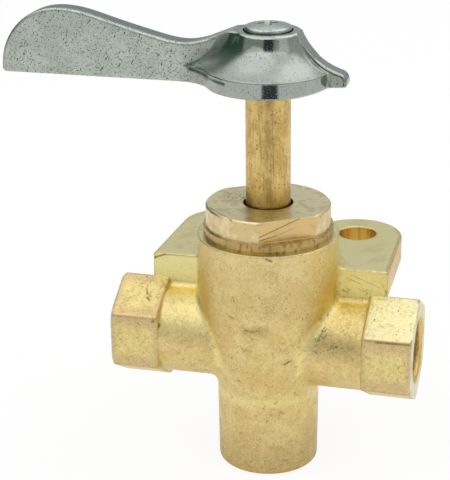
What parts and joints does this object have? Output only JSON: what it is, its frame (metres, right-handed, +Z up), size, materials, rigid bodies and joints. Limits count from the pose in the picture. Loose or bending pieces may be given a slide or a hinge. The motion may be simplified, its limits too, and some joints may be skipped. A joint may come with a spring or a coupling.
{
  "type": "three-way fuel valve",
  "caption": "Cast brass plug valve that switches a fuel line between threaded ports, with a bolt-on flange, a gland nut, a tall stem and a plated lever handle.",
  "frame": {"origin": "centre of the base, on the stem's axis, in the plane of the bottom port's mouth", "axes": "+Z up along the stem, +X out of the right-hand port, +Y back through the mounting flange"},
  "size_m": [0.0915, 0.0474, 0.1004],
  "materials": {
    "cast_brass": "sand cast, fine grain, machined faces",
    "turned_brass": "turned, satin",
    "stem_brass": "drawn bar, speckled",
    "seal_rubber": "matt",
    "spring_steel": "drawn wire",
    "plated_zinc": "dull plated die casting",
    "plated_steel": "plated, worn"
  },
  "bodies": {
    "body": {"valve_body": "cast_brass", "gland_nut": "turned_brass", "packing_washer": "turned_brass", "nut_gasket": "seal_rubber", "stem_seal": "seal_rubber", "plug_spring": "spring_steel"},
    "handle": {"lever_handle": "plated_zinc", "handle_screw": "plated_steel", "screw_lock_washer": "spring_steel", "plug_stem": "stem_brass", "thrust_washer": "turned_brass"}
  },
  "joints": [
    {"name": "handle_turn", "type": "hinge", "parent": "body", "child": "handle", "pos_m": [0, 0, 0.0859], "axis": [0, 0, 1], "continuous": true}
  ]
}
